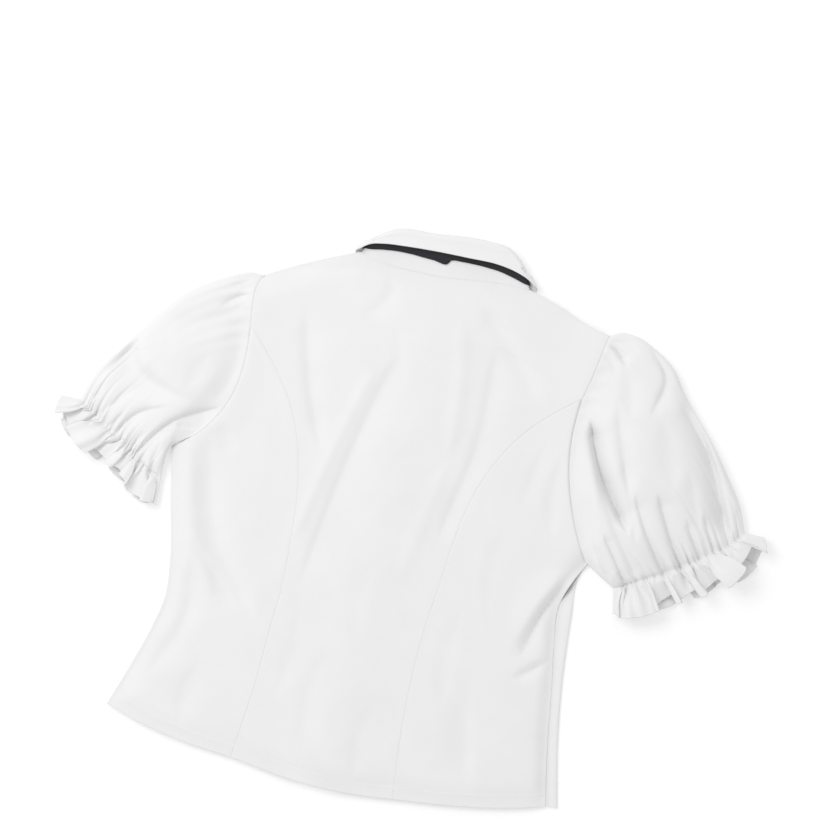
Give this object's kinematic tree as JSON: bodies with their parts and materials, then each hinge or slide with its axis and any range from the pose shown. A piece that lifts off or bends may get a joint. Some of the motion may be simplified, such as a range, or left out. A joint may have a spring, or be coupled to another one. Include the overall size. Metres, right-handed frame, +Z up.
{
  "type": "ruffle blouse",
  "caption": "White short-sleeved blouse laid flat with its back up, with gathered puff sleeves ending in ruffles, princess seams, a turned-down collar and a black neck ribbon.",
  "frame": {"origin": "on the surface that the blouse lies on, under the middle of its outline", "axes": "+X to the right of the back as laid, +Y from the hem to the collar, +Z up from the surface"},
  "size_m": [0.7256, 0.57, 0.0349],
  "materials": {
    "white_cloth": "fine matt weave",
    "black_ribbon": "soft satin",
    "button": "pearly"
  },
  "bodies": {
    "root": {"back_centre": "white_cloth", "back_side_left": "white_cloth", "back_side_right": "white_cloth", "front_left": "white_cloth", "front_right": "white_cloth", "front_placket": "white_cloth", "sleeve_left": "white_cloth", "sleeve_right": "white_cloth", "collar_stand": "white_cloth", "collar_leaf": "white_cloth", "neck_ribbon": "black_ribbon", "button_1": "button", "button_2": "button", "button_3": "button", "button_4": "button", "button_5": "button", "button_6": "button"}
  },
  "joints": []
}
